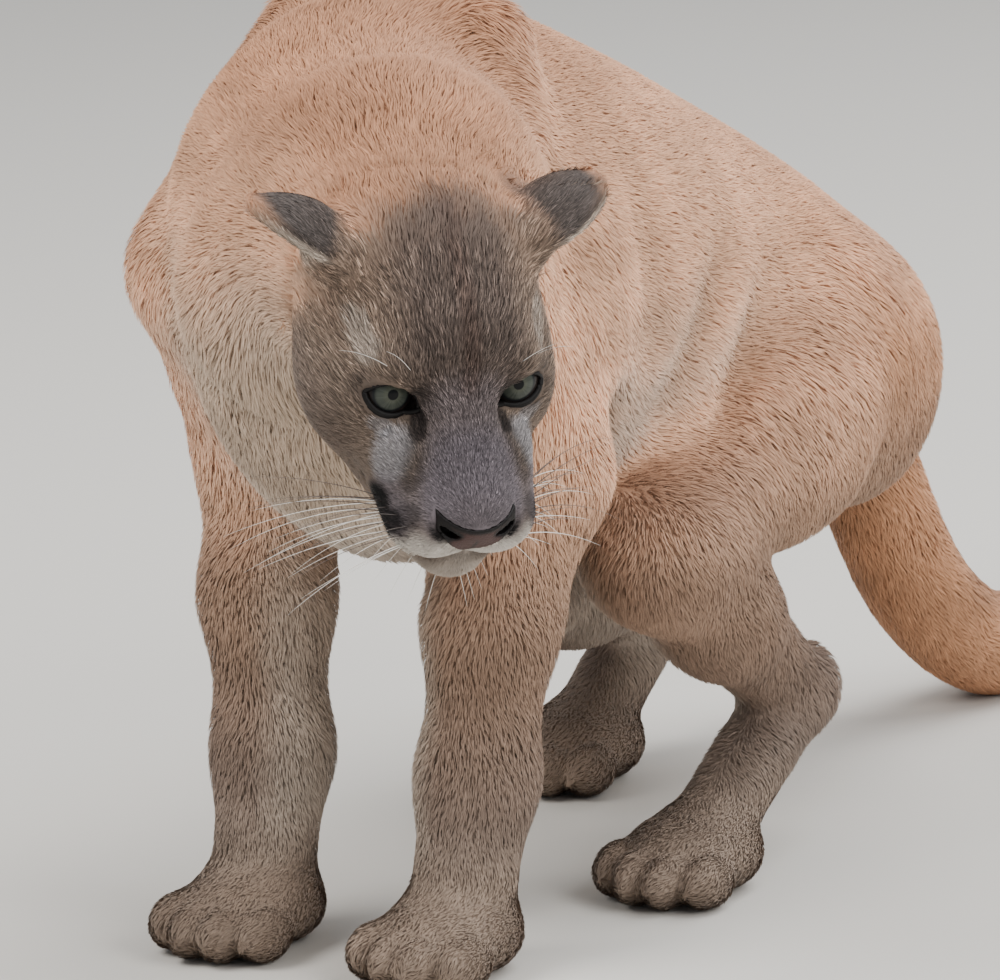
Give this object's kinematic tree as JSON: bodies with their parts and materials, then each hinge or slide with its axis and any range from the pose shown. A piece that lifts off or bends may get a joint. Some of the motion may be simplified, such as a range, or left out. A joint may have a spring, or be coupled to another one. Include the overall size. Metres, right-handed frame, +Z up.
{
  "type": "cougar",
  "caption": "Life-size still model of a cougar in a low stalking stance, head lowered and turned to its left, tail along the floor.",
  "frame": {"origin": "centre of the model's footprint, on the floor under its paws", "axes": "+Z up, the animal faces -Y, its left side is +X, +Y runs back along the body to the tail"},
  "size_m": [0.3964, 1.4874, 0.6071],
  "materials": {
    "coat": "short dense fur, reddish tan on the back, paler below",
    "nose_leather": "bare dark brown nose skin, slightly moist",
    "eye": "wet eyeball with a grey-green iris"
  },
  "bodies": {
    "root": {"crown": "coat", "face": "coat", "muzzle": "coat", "lower_jaw": "coat", "nose": "nose_leather", "eye_left": "eye", "eye_right": "eye", "ear_left": "coat", "ear_right": "coat", "neck": "coat", "chest": "coat", "belly": "coat", "hips": "coat", "tail_base": "coat", "tail_middle": "coat", "tail_tip": "coat", "shoulder_left": "coat", "foreleg_left": "coat", "forepaw_left": "coat", "thigh_left": "coat", "shank_left": "coat", "hind_foot_left": "coat", "shoulder_right": "coat", "foreleg_right": "coat", "forepaw_right": "coat", "thigh_right": "coat", "shank_right": "coat", "hind_foot_right": "coat"}
  },
  "joints": []
}
